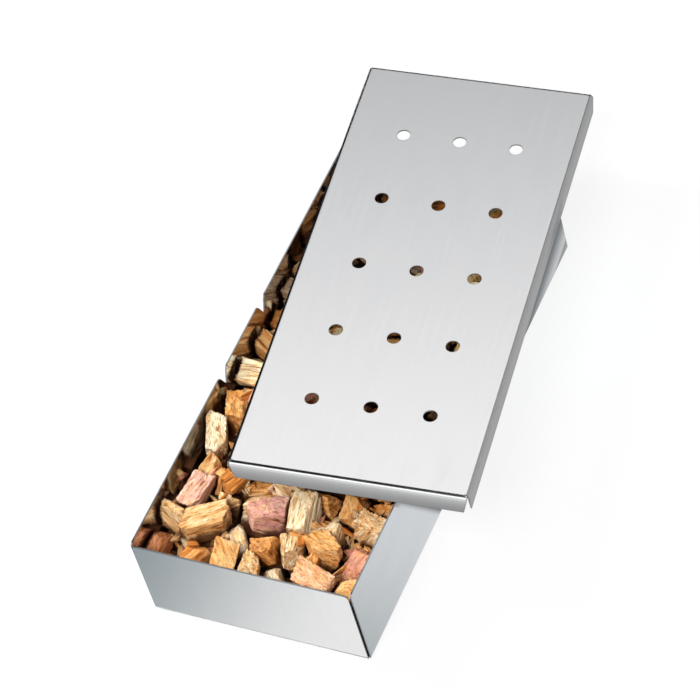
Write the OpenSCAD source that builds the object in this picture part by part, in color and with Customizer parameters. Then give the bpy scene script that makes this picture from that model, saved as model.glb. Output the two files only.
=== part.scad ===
// Grill smoker box: a folded sheet tray, a vented lid lying turned on its rim, and wood chips.
// Millimetres. X runs across the tray, Y along it to the rear, Z up.
// The origin is the middle of the tray's underside.

/* [Tray] */
// Outside width of the tray
tray_w = 95; // [75:1:140]
// Outside length of the tray
tray_l = 216; // [160:1:300]
// Outside height of the tray
tray_h = 42; // [34:1:60]
// Thickness of the sheet that tray and lid are folded from
sheet_t = 0.6; // [0.5:0.1:1.2]
// Inside radius of the tray's folds
fold_r = 1; // [0.6:0.1:2]
// Open slit between two walls at a corner
corner_slit = 0.5; // [0.4:0.1:1.5]
// Radius of the walls' upper corners
wall_corner_r = 2; // [1:0.5:6]

/* [Notches in the long walls] */
// Width of a notch at the rim
notch_w = 6.5; // [4:0.5:14]
// Depth of a notch
notch_d = 7.5; // [4:0.5:12]
// Radius of a notch's shoulders
notch_r = 2.5; // [0.5:0.1:4]
// Distance between the two notches of a wall
notch_pitch = 38; // [20:1:80]

/* [Lid] */
// Play between a flange and the tray's wall when the lid is on
lid_play = 0.4; // [0.3:0.1:2]
// Height of the flanges, with the sheet
flange_h = 9; // [6:0.5:14]
// Inside radius of the lid's folds
lid_fold_r = 1.2; // [0.6:0.1:3]
// How far a flange's end is cut back at its lower edge
flange_cut = 1.6; // [0.5:0.1:4]
// Diameter of a vent
vent_d = 5.6; // [3:0.1:9]
// Vents across the lid
vent_cols = 3; // [1:1:4]
// Vents along the lid
vent_rows = 5; // [1:1:6]
// Distance between vents across the lid
vent_pitch_x = 24; // [12:1:30]
// Distance between vents along the lid
vent_pitch_y = 36; // [12:1:40]

/* [How the lid lies] */
// Turn of the lid on the tray, in degrees
lid_turn = 8.3; // [4:0.1:12]
// From the tray's front to where the lid's front flange rests on the right rim
rest_back = 46.3; // [20:0.1:80]
// From the tray's left side to where the lid's left flange rests on the rear rim
rest_in = 2.4; // [1.5:0.1:12]
// Clearance at the three places where the lid rests
seat_gap = 0.3; // [0.2:0.05:0.6]

/* [Wood chips] */
// Chips across the tray
chip_cols = 7; // [4:1:8]
// Chips along the tray
chip_rows = 16; // [8:1:18]
// Rows at the front that lie clear of the lid
open_rows = 4; // [2:1:6]
// Columns on the left that lie clear of the lid
open_cols = 2; // [1:1:3]
// Length of a chip
chip_len = 22; // [12:0.5:30]
// Width of a chip
chip_wid = 10; // [7:0.5:22]
// From the rim down to the general level of the chips
fill_drop = 6; // [4:0.5:14]
// How much one chip lies higher or lower than the level
chip_lift = 5; // [0:0.1:6]
// Greatest tilt of a chip, in degrees
chip_tilt = 18; // [0:1:25]
// Slant of the face between a high chip and a low one beside it, as a slope
chip_slant = 1; // [0:0.05:1.2]
// Shift of a chip from its even place, as a share of the spacing
chip_shift = 0.27; // [0:0.01:0.3]
// Gap between neighbouring chips
chip_gap = 0.3; // [0.2:0.05:0.6]
// Gap between chips of the lower layers
lower_gap = 2.4; // [0.3:0.1:4]
// Least depth of a chip below the rim
rim_clear = 2; // [0.5:0.1:4]
// Which of the many ways the chips lie
chip_seed = 88; // [1:1:200]

/* [Hidden] */
$fn = 48;
eps = 1;
shoulder_steps = 8;
steel = [0.80, 0.81, 0.82];
wood = [[0.78, 0.58, 0.36], [0.87, 0.71, 0.49], [0.66, 0.44, 0.27], [0.74, 0.52, 0.44]];
fold_out = fold_r + sheet_t;
lid_fold_out = lid_fold_r + sheet_t;
wall_end = sheet_t + corner_slit / sqrt(2);
lid_w = tray_w + 2 * (lid_play + sheet_t);
lid_l = tray_l + 2 * (lid_play + sheet_t);

// The lid rests on the right rim, on the rear rim and on the rear right corner, which sets its slope.
flange_in = flange_h - sheet_t;
rest_y = rest_back - tray_l / 2;
rest_x = rest_in - tray_w / 2;
slope_x = flange_in / (tray_w / 2 - rest_x);
slope_y = flange_in / (tray_l / 2 - rest_y);
lid_n = [slope_x, slope_y, sqrt(1 - slope_x * slope_x - slope_y * slope_y)];
turn_dir = [cos(lid_turn), sin(lid_turn), 0];
lid_u0 = turn_dir - (turn_dir * lid_n) * lid_n;
lid_u = lid_u0 / norm(lid_u0);
lid_v = cross(lid_n, lid_u);
rest_d = [tray_w / 2, rest_y, tray_h + seat_gap];
rest_c = [rest_x, tray_l / 2, tray_h + seat_gap];
lid_corner = rest_d - ((rest_d - rest_c) * lid_u) * lid_u;
lid_at = lid_corner + lid_u * lid_w / 2 + lid_v * lid_l / 2 + lid_n * flange_h;
lid_pose = [
    [lid_u.x, lid_v.x, lid_n.x, lid_at.x],
    [lid_u.y, lid_v.y, lid_n.y, lid_at.y],
    [lid_u.z, lid_v.z, lid_n.z, lid_at.z],
    [0, 0, 0, 1]
];

// The chips lie in a bed clear of the walls and of the folds along the base, in three layers.
bed_clear = chip_gap + fold_r * (1 - 1 / sqrt(2));
bed_w = tray_w - 2 * (sheet_t + bed_clear);
bed_l = tray_l - 2 * (sheet_t + bed_clear);
bed_z = sheet_t + bed_clear;
bed_top = tray_h - fill_drop;
layer_h = (bed_top - bed_z) / 3;
top_layer = 2;
spacing = [bed_w / chip_cols, bed_l / chip_rows];
own_half = (1 - chip_shift) * spacing - [chip_gap, chip_gap] / 2;
open_count = open_rows * chip_cols + (chip_rows - open_rows) * open_cols;

function chip_name(i) = str("chip_", i < 9 ? "0" : "", i + 1);
function open_cell(i) =
    let (rest = i - open_rows * chip_cols)
    rest < 0
        ? [floor(i / chip_cols), i % chip_cols]
        : [open_rows + floor(rest / open_cols), rest % open_cols];
function seed(layer, cell) = chip_seed + 7919 * layer + 131 * cell.x + 17 * cell.y;
function chance(cell) = rands(-1, 1, 12, seed(top_layer, cell));
function layer_z(layer) = bed_z + layer * layer_h;
function chip_place(cell) =
    let (r = chance(cell))
    [
        -bed_w / 2 + (cell.y + 0.5 + chip_shift * r[0]) * spacing.x,
        -bed_l / 2 + (cell.x + 0.5 + chip_shift * r[1]) * spacing.y
    ];
function lift(cell) = chance(cell)[5];
function pair_slope(a, b) = chip_slant * max(-1, min(1, lift(b) - lift(a)));
function near_cells(cell) = [
    for (i = [max(0, cell.x - 1):min(chip_rows - 1, cell.x + 1)])
        for (j = [max(0, cell.y - 1):min(chip_cols - 1, cell.y + 1)])
            if ([i, j] != cell)
                [i, j]
];

// The packed layers below: the corners of an uneven grid,
// and a chip's outline drawn in from its four corners.
function grid_point(layer, i, j) =
    let (r = rands(-1, 1, 2, seed(layer, [i, j])))
    [
        -bed_w / 2 + (j + (j > 0 && j < chip_cols ? chip_shift * r[0] : 0)) * spacing.x,
        -bed_l / 2 + (i + (i > 0 && i < chip_rows ? chip_shift * r[1] : 0)) * spacing.y
    ];
function grid_chip(layer, i, j) = [
    grid_point(layer, i, j), grid_point(layer, i, j + 1),
    grid_point(layer, i + 1, j + 1), grid_point(layer, i + 1, j)
];
function unit(v) = v / norm(v);
function drawn_in(pts, d) = [
    for (k = [0:len(pts) - 1])
        let (
            on = unit(pts[(k + 1) % len(pts)] - pts[k]),
            back = unit(pts[(k + len(pts) - 1) % len(pts)] - pts[k])
        )
        pts[k] + (on + back) * d / abs(cross(on, back))
];

// One fold of a box of the given length: a quarter ring of sheet, drawn about its centre line, along Y.
// Its ends run on a mitre from the flat sheet's corner to the ends of the wall.
module fold(length, inner) {
    outer = inner + sheet_t;
    flat_end = length / 2 - outer;
    far_end = length / 2 - wall_end;
    intersection() {
        rotate([90, 0, 0])
            linear_extrude(length, center = true)
                intersection() {
                    difference() {
                        circle(outer);
                        circle(inner);
                    }
                    translate([0, -outer])
                        square(outer);
                }
        translate([0, 0, -outer])
            linear_extrude(outer)
                polygon([
                    [0, -flat_end], [inner, -far_end], [outer, -far_end],
                    [outer, far_end], [inner, far_end], [0, flat_end]
                ]);
    }
}

// The outline of a notch, with the rim at height 0 and its shoulders rounded.
module notch() {
    half = atan(notch_w / 2 / notch_d);
    edge = notch_w / 2 + notch_r / tan(45 + half / 2);
    right = [
        for (k = [0:shoulder_steps])
            let (a = 180 - half - k * (90 - half) / shoulder_steps)
            [edge + notch_r * cos(a), notch_r * (sin(a) - 1)]
    ];
    left = [for (k = [shoulder_steps:-1:0]) [-right[k].x, right[k].y]];
    polygon(concat([[0, -notch_d]], right, [[edge, eps], [-edge, eps]], left));
}

// The flat of a wall above its fold, drawn upright with its middle at 0.
module wall_outline(len, notched) {
    difference() {
        union() {
            translate([-len / 2, fold_out])
                square([len, tray_h - fold_out - wall_corner_r]);
            translate([-len / 2 + wall_corner_r, fold_out])
                square([len - 2 * wall_corner_r, tray_h - fold_out]);
            for (s = [-1, 1])
                translate([s * (len / 2 - wall_corner_r), tray_h - wall_corner_r])
                    circle(wall_corner_r);
        }
        if (notched)
            for (s = [-1, 1])
                translate([s * notch_pitch / 2, tray_h])
                    notch();
    }
}

// A wall on the +X side with its fold, for a box of the given outside width and length.
module wall(width, length, notched) {
    translate([width / 2 - fold_out, 0, fold_out])
        fold(length, fold_r);
    translate([width / 2 - sheet_t, 0, 0])
        rotate([90, 0, 90])
            linear_extrude(sheet_t)
                wall_outline(length - 2 * wall_end, notched);
}

module tray() {
    color(steel)
        union() {
            translate([-tray_w / 2 + fold_out, -tray_l / 2 + fold_out, 0])
                cube([tray_w - 2 * fold_out, tray_l - 2 * fold_out, sheet_t]);
            for (turn = [0, 180])
                rotate([0, 0, turn])
                    wall(tray_w, tray_l, true);
            for (turn = [90, 270])
                rotate([0, 0, turn])
                    wall(tray_l, tray_w, false);
        }
}

// A flange on the lid's +X side with its fold, for a lid of the given width and length.
module flange(width, length) {
    long = length / 2 - wall_end;
    translate([width / 2 - lid_fold_out, 0, -lid_fold_out])
        mirror([0, 0, 1])
            fold(length, lid_fold_r);
    translate([width / 2 - sheet_t, 0, 0])
        rotate([90, 0, 90])
            linear_extrude(sheet_t)
                polygon([
                    [-long, -lid_fold_out], [long, -lid_fold_out],
                    [long - flange_cut, -flange_h], [-long + flange_cut, -flange_h]
                ]);
}

module lid() {
    color(steel)
        multmatrix(lid_pose)
            union() {
                difference() {
                    translate([-lid_w / 2 + lid_fold_out, -lid_l / 2 + lid_fold_out, -sheet_t])
                        cube([lid_w - 2 * lid_fold_out, lid_l - 2 * lid_fold_out, sheet_t]);
                    for (i = [0:vent_cols - 1])
                        for (j = [0:vent_rows - 1])
                            translate([
                                (i - (vent_cols - 1) / 2) * vent_pitch_x,
                                (j - (vent_rows - 1) / 2) * vent_pitch_y,
                                0
                            ])
                                cylinder(d = vent_d, h = 4 * sheet_t, center = true);
                }
                for (turn = [0, 180])
                    rotate([0, 0, turn])
                        flange(lid_w, lid_l);
                for (turn = [90, 270])
                    rotate([0, 0, turn])
                        flange(lid_l, lid_w);
            }
}

// All that lies past the face between a chip and its neighbour.
// The face leans so that the higher chip lies over the lower one.
module past_face(cell, other) {
    p = chip_place(cell);
    q = chip_place(other);
    d = q - p;
    n = [d.x, d.y, norm(d) * pair_slope(cell, other)];
    translate([(p.x + q.x) / 2, (p.y + q.y) / 2, layer_z(top_layer) + layer_h / 2])
        rotate([0, acos(n.z / norm(n)), atan2(n.y, n.x)])
            translate([-2 * chip_len, -2 * chip_len, -chip_gap / 2])
                cube(4 * chip_len);
}

// One chip of the top layer: a skewed block of split wood, tilted,
// and kept to its own side of the faces to its neighbours.
module chip(cell) {
    r = chance(cell);
    long = chip_len / 2 * (1 + 0.15 * r[2]);
    wide = chip_wid / 2 * (1 + 0.15 * r[3]);
    skew = 0.25 * chip_wid;
    p = chip_place(cell);
    low = layer_z(top_layer) + chip_gap / 2;
    color(wood[floor(2 + 1.99 * r[4])])
        difference() {
            intersection() {
                translate([-bed_w / 2, -bed_l / 2, low])
                    cube([bed_w, bed_l, tray_h - rim_clear - low]);
                translate([p.x - own_half.x, p.y - own_half.y, 0])
                    cube([2 * own_half.x, 2 * own_half.y, tray_h]);
                translate([p.x, p.y, layer_z(top_layer) + chip_lift * lift(cell)])
                    rotate([chip_tilt * r[6], chip_tilt * r[7], 180 * r[8]])
                        linear_extrude(2 * layer_h, center = true)
                            polygon([
                                [-long + skew * r[9], -wide],
                                [long + skew * r[10], -wide],
                                [long + skew * r[11], wide],
                                [-long + skew * r[4], wide]
                            ]);
            }
            for (other = near_cells(cell))
                past_face(cell, other);
        }
}

module chips_under_lid() {
    for (i = [open_rows:chip_rows - 1])
        for (j = [open_cols:chip_cols - 1])
            chip([i, j]);
}

// A lower layer, of chips packed flat side by side.
module packed_layer(layer) {
    for (i = [0:chip_rows - 1])
        for (j = [0:chip_cols - 1])
            color(wood[(i + 2 * j + layer) % len(wood)])
                translate([0, 0, layer_z(layer)])
                    linear_extrude(layer_h - chip_gap)
                        polygon(drawn_in(grid_chip(layer, i, j), lower_gap / 2));
}

module chips_middle_layer() {
    packed_layer(1);
}

module chips_bottom_layer() {
    packed_layer(0);
}

tray();
lid();
for (i = [0:open_count - 1])
    chip(open_cell(i));
chips_under_lid();
chips_middle_layer();
chips_bottom_layer();
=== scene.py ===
"""Looks of a grill smoker box: a folded sheet tray, a vented lid lying turned on it, and wood chips.

Metres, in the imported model's frame: X across the tray, Y along it to the rear, Z up.
"""

import logging
import math
from collections.abc import Sequence
from dataclasses import dataclass, field
from enum import Enum
from typing import Any

import bpy
import numpy as np
from mathutils import Matrix, Vector


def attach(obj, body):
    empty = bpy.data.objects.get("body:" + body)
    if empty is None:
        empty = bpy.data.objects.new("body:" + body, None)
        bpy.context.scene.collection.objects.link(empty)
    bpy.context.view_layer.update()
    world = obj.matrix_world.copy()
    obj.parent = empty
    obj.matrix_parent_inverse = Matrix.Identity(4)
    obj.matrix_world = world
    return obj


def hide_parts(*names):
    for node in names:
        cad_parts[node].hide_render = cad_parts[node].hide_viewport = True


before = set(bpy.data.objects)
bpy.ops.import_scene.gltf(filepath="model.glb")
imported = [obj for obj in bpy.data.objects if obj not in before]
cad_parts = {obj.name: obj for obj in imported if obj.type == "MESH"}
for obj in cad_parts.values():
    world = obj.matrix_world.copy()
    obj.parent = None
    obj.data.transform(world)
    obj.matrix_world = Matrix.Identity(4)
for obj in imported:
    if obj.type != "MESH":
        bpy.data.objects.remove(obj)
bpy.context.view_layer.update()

LOG = logging.getLogger("smoker_box")
MM = 0.001
WELD = 1e-7  # points within this distance are one
DECIMALS = 8  # of a metre, for places that have to be told apart
FACE_DECIMALS = 3  # of a face's direction and of its distance in millimetres
LEAST_AREA = 1e-12
LEAST_RATIO = 1e-6

# What scrambles a corner's whole numbers into a random value.
HASH_WAYS = np.array([374761393, 668265263, 2246822519], np.uint64)
HASH_SEED = 3266489917
HASH_ROUNDS = ((15, 2654435761), (13, 3266489917))
HASH_LAST = np.uint64(16)
LOW_BITS = np.uint64(0xFFFFFFFF)

Array = np.ndarray
Piece = bpy.types.Object
Socket = bpy.types.NodeSocket
Pair = tuple[float, float]
Triple = tuple[float, float, float]
Colour = tuple[float, float, float, float]
Stops = tuple[tuple[float, Colour], ...]
Settings = dict[str, Any]
Sockets = dict[int | str, Any]


class Slot(Enum):
    """The record's material slots."""

    SHEET = "stainless_sheet"
    WOOD = "wood_chip"


class Body(Enum):
    """The bodies that pieces ride on."""

    TRAY = "tray"
    LID = "lid"


class Mark(Enum):
    """Names of the values that a mesh carries for its finish."""

    SHEET_PLACE = "sheet_place"
    CUT_EDGE = "cut_edge"
    GRAIN_PLACE = "grain_place"
    TINT = "chip_tint"
    BLUSH = "chip_blush"
    CUT_END = "chip_end"
    # Painted shade, from 0 to 1, where a chip lies below the chips round it.
    PAINTED_SHADE = "chip_depth"


def tone(red: float, green: float, blue: float) -> Colour:
    """A colour given as screen values from 0 to 255, as the linear light that a shader takes.

    Args:
        red, green, blue: Screen values from 0 to 255.

    Returns:
        Linear red, green, blue and 1.
    """
    screen = np.array([red, green, blue]) / 255
    light = np.where(screen <= 0.04045, screen / 12.92, ((screen + 0.055) / 1.055) ** 2.4)
    return (*light.tolist(), 1.0)


def grey(light: float) -> Colour:
    """A neutral light."""
    return (light, light, light, 1.0)


def grain_cell(length: float, width: float) -> Triple:
    """A noise cell in metres, from its length along the grain and its width in millimetres."""
    return (length * MM, width * MM, width * MM)


def ease(x: Array, low: float, high: float) -> Array:
    """A smooth step from 0 at low to 1 at high: 3t^2 - 2t^3 of t = (x - low) / (high - low), kept to 0..1."""
    t = np.clip((x - low) / (high - low), 0, 1)
    return t * t * (3 - 2 * t)


def lattice_noise(p: Array, seed: int) -> Array:
    """Smooth noise: a random value on each whole-number corner, blended by eased shares over the cell.

    Args:
        p: Points, one row of three each, in cells.
        seed: Which of the many noises.

    Returns:
        One value from 0 to 1 for each point.
    """
    cell = np.floor(p).astype(np.int64)
    part = ease(p - cell, 0, 1)
    step = np.array(np.meshgrid([0, 1], [0, 1], [0, 1], indexing="ij")).reshape(3, -1).T
    corner = (cell[:, None, :] + step[None]).astype(np.uint64)
    mixed = corner @ HASH_WAYS + np.uint64(seed * HASH_SEED)
    for shift, factor in HASH_ROUNDS:
        mixed = (mixed ^ (mixed >> np.uint64(shift))) * np.uint64(factor) & LOW_BITS
    value = (mixed ^ (mixed >> HASH_LAST)).astype(float) / 2.0**32
    share = np.where(step[None] == 1, part[:, None, :], 1 - part[:, None, :]).prod(2)
    return (value * share).sum(1)


@dataclass
class Patches:
    """Grids of points, with a mark for each point, that are welded into one mesh."""

    points: list[Array] = field(default_factory=list)
    marks: list[Array] = field(default_factory=list)
    quads: list[Array] = field(default_factory=list)
    count: int = 0

    def add(self, grid: Array, mark: Array | None = None, flip: bool = False) -> None:
        """Adds a grid of squares.

        Args:
            grid: Points, rows by columns by 3, facing the way of row step times column step.
            mark: A vector for each point, or None for the points themselves.
            flip: Whether the squares face the other way.
        """
        rows, cols = grid.shape[:2]
        index = self.count + np.arange(rows * cols).reshape(rows, cols)
        ring = [index[:-1, :-1], index[1:, :-1], index[1:, 1:], index[:-1, 1:]]
        self.quads.append(np.stack(ring[::-1] if flip else ring, -1).reshape(-1, 4))
        self.points.append(grid.reshape(-1, 3))
        self.marks.append((grid if mark is None else mark).reshape(-1, 3))
        self.count += rows * cols

    def welded(self) -> tuple[Array, Array, Array]:
        """Joins points that coincide.

        Returns:
            The points, their marks and the squares, four corners a row.
        """
        points = np.concatenate(self.points)
        key = np.round(points / WELD).astype(np.int64)
        _, first, back = np.unique(key, axis=0, return_index=True, return_inverse=True)
        return points[first], np.concatenate(self.marks)[first], back.ravel()[np.concatenate(self.quads)]

    def piece(self, name: str) -> Piece:
        """The welded grids as a piece without marks."""
        points, _, quads = self.welded()
        return new_piece(name, points, quads)


def new_piece(name: str, points: Array, quads: Array) -> Piece:
    """Puts points and squares into a mesh at the origin.

    Args:
        name: The piece's name.
        points: Points, one a row.
        quads: Corner numbers, four a row.

    Returns:
        The object, linked into the scene, smoothly shaded.
    """
    mesh = bpy.data.meshes.new(name)
    mesh.from_pydata(points.tolist(), [], quads.tolist())
    mesh.shade_smooth()
    piece = bpy.data.objects.new(name, mesh)
    bpy.context.scene.collection.objects.link(piece)
    return piece


def put_mark(piece: Piece, mark: Mark, values: Array) -> None:
    """Stores one number or one vector for each point of a piece, for its finish to read.

    Args:
        piece: The piece.
        mark: What is stored.
        values: One row for each point.
    """
    vector = values.ndim == 2
    layer = piece.data.attributes.new(mark.value, "FLOAT_VECTOR" if vector else "FLOAT", "POINT")
    layer.data.foreach_set("vector" if vector else "value", values.astype(np.float32).ravel())


def cut_edges(quads: Array, count: int) -> Array:
    """Finds a sheet's cut edges: the points on an edge at which only one square ends.

    Args:
        quads: Corner numbers, four a row.
        count: How many points the sheet has.

    Returns:
        1 for each point on a cut edge, and 0 for the others.
    """
    pairs = np.sort(np.concatenate([quads[:, [i, (i + 1) % 4]] for i in range(4)]), axis=1)
    edges, uses = np.unique(pairs, axis=0, return_counts=True)
    cut = np.zeros(count)
    cut[edges[uses == 1]] = 1
    return cut


def settle(piece: Piece, material: bpy.types.Material, body: Body, slot: Slot, *nodes: str) -> Piece:
    """Dresses a piece, ties it to its body, and hides the CAD nodes that it replaces.

    Args:
        piece: The piece.
        material: Its finish.
        body, slot: What it rides on, and the record's slot for its material, which is not used.
        nodes: The CAD nodes that it replaces.

    Returns:
        The piece.
    """
    piece.data.materials.append(material)
    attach(piece, body.value)
    if nodes:
        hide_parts(*nodes)
    LOG.info("%s: %d faces, on %s", piece.name, len(piece.data.polygons), body.value)
    return piece


class Value:
    """A shader socket that carries a number. Python's operators add Math nodes to its tree."""

    def __init__(self, shader: "Shader", socket: Socket) -> None:
        """Wraps a socket of the shader's tree."""
        self.shader = shader
        self.socket = socket

    def _math(self, operation: str, *terms: "Value | float") -> "Value":
        """A Math node on the terms."""
        return self.shader.value("ShaderNodeMath", {"operation": operation}, dict(enumerate(terms)))

    def __add__(self, other: "Value | float") -> "Value":
        """This value plus the other."""
        return self._math("ADD", self, other)

    def __sub__(self, other: "Value | float") -> "Value":
        """This value less the other."""
        return self._math("SUBTRACT", self, other)

    def __rsub__(self, other: "Value | float") -> "Value":
        """The other less this value."""
        return self._math("SUBTRACT", other, self)

    def __mul__(self, other: "Value | float") -> "Value":
        """This value times the other."""
        return self._math("MULTIPLY", self, other)

    __radd__ = __add__
    __rmul__ = __mul__

    def eased(self, low: float, high: float) -> "Value":
        """A smooth step of this value from 0 at low to 1 at high."""
        sockets = {"Value": self, "From Min": low, "From Max": high}
        return self.shader.value("ShaderNodeMapRange", {"interpolation_type": "SMOOTHSTEP"}, sockets)

    def veil(self, share: float, low: float, high: float) -> "Value":
        """A share of this value's smooth step."""
        return share * self.eased(low, high)


class Shader:
    """A node tree that is built by expressions."""

    def __init__(self, tree: bpy.types.NodeTree) -> None:
        """Empties the tree and keeps it."""
        self.tree = tree
        tree.nodes.clear()

    @classmethod
    def of_material(cls, name: str) -> tuple["Shader", bpy.types.Material]:
        """A new material with its empty tree.

        Args:
            name: The material's name.

        Returns:
            The tree's shader and the material.
        """
        material = bpy.data.materials.new(name)
        material.use_nodes = True
        return cls(material.node_tree), material

    def node(
        self, kind: str, settings: Settings | None = None, sockets: Sockets | None = None
    ) -> bpy.types.Node:
        """Adds a node.

        Args:
            kind: The node's type.
            settings: Its settings, set first; stops are a ramp's places and colours.
            sockets: A value or a link for each input, by name or number.

        Returns:
            The node.
        """
        made = self.tree.nodes.new(kind)
        for name, setting in (settings or {}).items():
            if name == "stops":
                self._stops(made.color_ramp, setting)
            else:
                setattr(made, name, setting)
        for key, given in (sockets or {}).items():
            source = given.socket if isinstance(given, Value) else given
            if isinstance(source, Socket):
                self.tree.links.new(source, made.inputs[key])
            else:
                made.inputs[key].default_value = source
        return made

    @staticmethod
    def _stops(ramp: bpy.types.ColorRamp, stops: Stops) -> None:
        """Sets a ramp's places and colours.

        Args:
            ramp: The ramp.
            stops: The places and colours, in order.
        """
        for _ in range(len(stops) - len(ramp.elements)):
            ramp.elements.new(0.5)
        for element, (place, colour) in zip(ramp.elements, stops):
            element.position = place
            element.color = colour

    def link(
        self, kind: str, settings: Settings | None = None, sockets: Sockets | None = None, out: int | str = 0
    ) -> Socket:
        """A new node's output, as a link."""
        return self.node(kind, settings, sockets).outputs[out]

    def value(self, kind: str, settings: Settings, sockets: Sockets, out: int | str = 0) -> Value:
        """A new node's output, as a number to reckon with."""
        return Value(self, self.link(kind, settings, sockets, out))

    def mark(self, mark: Mark) -> Value:
        """The number that a mesh carries under that mark."""
        return self.value("ShaderNodeAttribute", {"attribute_name": mark.value}, {}, "Fac")

    def marked_place(self, mark: Mark) -> Socket:
        """The place that a mesh carries under that mark."""
        return self.link("ShaderNodeAttribute", {"attribute_name": mark.value}, {}, "Vector")

    def object_place(self) -> Socket:
        """The place in the model's frame."""
        return self.link("ShaderNodeTexCoord", out="Object")

    def noise(self, place: Socket, cell: Triple, detail: float = 2, warp: float = 0) -> Value:
        """Noise from 0 to 1.

        Args:
            place: Where it is read.
            cell: Size of its cells in metres.
            detail, warp: How many finer layers it has, and how far it is bent.

        Returns:
            The noise.
        """
        scale = tuple(1 / size for size in cell)
        stretched = self.link("ShaderNodeVectorMath", {"operation": "MULTIPLY"}, {0: place, 1: scale})
        sockets = {"Vector": stretched, "Scale": 1.0, "Detail": detail, "Distortion": warp}
        return self.value("ShaderNodeTexNoise", {}, sockets)

    def mix(self, share: Value | Socket, low: Any, high: Any) -> Socket:
        """A colour between two colours."""
        settings = {"data_type": "RGBA", "blend_type": "MIX", "clamp_factor": True}
        return self.link("ShaderNodeMix", settings, {0: share, 6: low, 7: high}, 2)

    def ramp(self, place: Value, stops: Stops) -> Socket:
        """A colour along a ramp."""
        return self.link("ShaderNodeValToRGB", {"stops": stops}, {0: place})

    def bump(self, height: Value, depth: float, below: Socket | None = None) -> Socket:
        """A normal raised by a height.

        Args:
            height: The height, from 0 to 1.
            depth: What a height of 1 stands for, in metres.
            below: The normal that is raised, or None for the surface's own.

        Returns:
            The normal.
        """
        sockets: Sockets = {"Height": height, "Strength": 1.0, "Distance": depth}
        if below is not None:
            sockets["Normal"] = below
        return self.link("ShaderNodeBump", {}, sockets)

    def principled(self, **sockets: Any) -> Socket:
        """A Principled shader; underscores in a socket's name stand for blanks."""
        named = {name.replace("_", " "): given for name, given in sockets.items()}
        return self.link("ShaderNodeBsdfPrincipled", {}, named)

    def glow(self, colour: Any) -> Socket:
        """A shader that gives light of that colour."""
        return self.link("ShaderNodeEmission", {}, {"Color": colour, "Strength": 1.0})

    def blend(self, share: Value | Socket, low: Socket, high: Socket) -> Socket:
        """A shader between two shaders."""
        return self.link("ShaderNodeMixShader", {}, {0: share, 1: low, 2: high})

    def surface(self, shader_out: Socket) -> None:
        """Sends a shader to the material's surface."""
        self.node("ShaderNodeOutputMaterial", {}, {"Surface": shader_out})


@dataclass(frozen=True)
class Finish:
    """What the finishes have in common: a name, and a shader that each of them paints."""

    name: str

    def paint(self, shader: Shader) -> Socket:
        """The finish's own shader."""
        raise NotImplementedError

    def material(self) -> bpy.types.Material:
        """Makes a new material with this finish.

        Returns:
            The material.
        """
        shader, material = Shader.of_material(self.name)
        shader.surface(self.paint(shader))
        return material


@dataclass(frozen=True)
class StainlessSheet(Finish):
    """Bright rolled stainless sheet: satin gloss, faint lines, a slight wave from folding, dull cut edges."""

    light: Colour = (0.81, 0.812, 0.815, 1.0)
    shade: Colour = (0.775, 0.78, 0.787, 1.0)
    cut: Colour = (0.40, 0.405, 0.41, 1.0)
    tone_span: Pair = (0.35, 0.7)
    gloss: float = 0.17
    line_gloss: float = 0.03
    smear_gloss: Triple = (0.05, 0.45, 0.8)
    cut_gloss: float = 0.2
    line_cell: Triple = (0.5 * MM, 60 * MM, 1.0)
    wave_cell: Triple = (45 * MM, 60 * MM, 1.0)
    smear_cell: Triple = (9 * MM, 26 * MM, 1.0)
    wave: float = 0.05 * MM
    line: float = 0.00016 * MM

    def paint(self, shader: Shader) -> Socket:
        """Paints by places on the sheet laid flat, so that lines and smears run on round a fold.

        Args:
            shader: The tree to paint in.

        Returns:
            The sheet's shader.
        """
        place = shader.marked_place(Mark.SHEET_PLACE)
        lines = shader.noise(place, self.line_cell, detail=3)
        wave = shader.noise(place, self.wave_cell, detail=1)
        smear = shader.noise(place, self.smear_cell, detail=3, warp=0.4)
        edge = shader.mark(Mark.CUT_EDGE)
        colour = shader.mix((lines * 0.5 + smear * 0.5).eased(*self.tone_span), self.shade, self.light)
        colour = shader.mix(edge, colour, self.cut)
        rough = (
            self.gloss
            + self.line_gloss * (lines - 0.5)
            + smear.veil(*self.smear_gloss)
            + self.cut_gloss * edge
        )
        normal = shader.bump(lines, self.line, shader.bump(wave, self.wave))
        return shader.principled(Base_Color=colour, Metallic=1.0, Roughness=rough, Normal=normal)


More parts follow.
